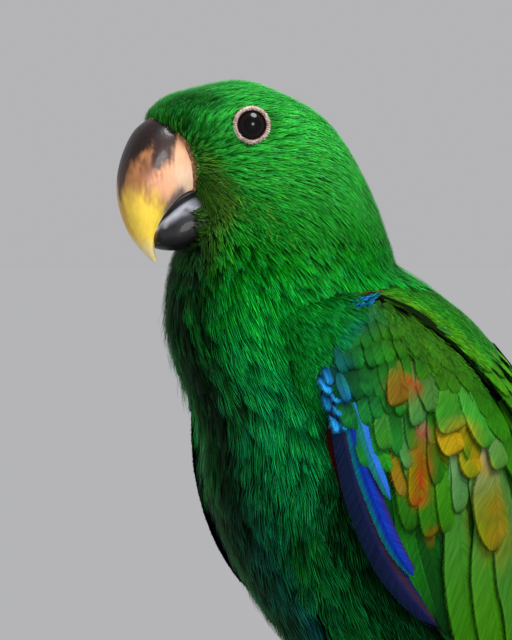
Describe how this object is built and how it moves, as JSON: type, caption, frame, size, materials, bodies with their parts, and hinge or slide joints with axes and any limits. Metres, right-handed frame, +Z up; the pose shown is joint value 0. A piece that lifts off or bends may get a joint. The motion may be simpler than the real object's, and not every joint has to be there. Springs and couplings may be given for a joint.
{
  "type": "eclectus parrot",
  "caption": "Life-size male green parrot with a hooked beak, folded wings and a square tail, perched on a short branch held up by a rod on a round base.",
  "frame": {"origin": "centre of the underside of the stand's round base", "axes": "+Z up; the bird's body faces -Y and its left side is +X; the branch lies along X; the head is turned 9 degrees to the bird's right"},
  "size_m": [0.156, 0.19, 0.3109],
  "materials": {
    "head_feather": "fine bright green feathers, satin",
    "body_feather": "green feathers with darker gaps and a blue-green tint",
    "wing_feather": "green scale-like coverts and vanes, blue leading edge, orange and yellow marks",
    "tail_feather": "green tail feathers edged blue-black with pale yellow tips",
    "upper_beak": "horn, orange to yellow, dark at the base, semi-gloss",
    "lower_beak": "dark grey horn, semi-gloss",
    "cere_skin": "bare brown skin",
    "eyelid_skin": "pale pink beaded skin",
    "eyeball": "dark brown, wet gloss",
    "foot_skin": "grey scaly skin",
    "claw_horn": "dark horn, semi-gloss",
    "branch_wood": "rough bark, cut ends",
    "rod_metal": "dark satin paint",
    "base_wood": "dark stained, satin"
  },
  "bodies": {
    "root": {"beak_lower": "lower_beak", "beak_upper": "upper_beak", "cere": "cere_skin", "claw_left_inner_back": "claw_horn", "claw_left_inner_front": "claw_horn", "claw_left_outer_back": "claw_horn", "claw_left_outer_front": "claw_horn", "claw_right_inner_back": "claw_horn", "claw_right_inner_front": "claw_horn", "claw_right_outer_back": "claw_horn", "claw_right_outer_front": "claw_horn", "eye_left": "eyeball", "eye_right": "eyeball", "eye_ring_left": "eyelid_skin", "eye_ring_right": "eyelid_skin", "foot_left": "foot_skin", "foot_right": "foot_skin", "head": "head_feather", "neck": "body_feather", "perch": "branch_wood", "stand_base": "base_wood", "stand_rod": "rod_metal", "tail": "tail_feather", "thigh_left": "body_feather", "thigh_right": "body_feather", "torso": "body_feather", "wing_left": "wing_feather", "wing_right": "wing_feather"}
  },
  "joints": []
}
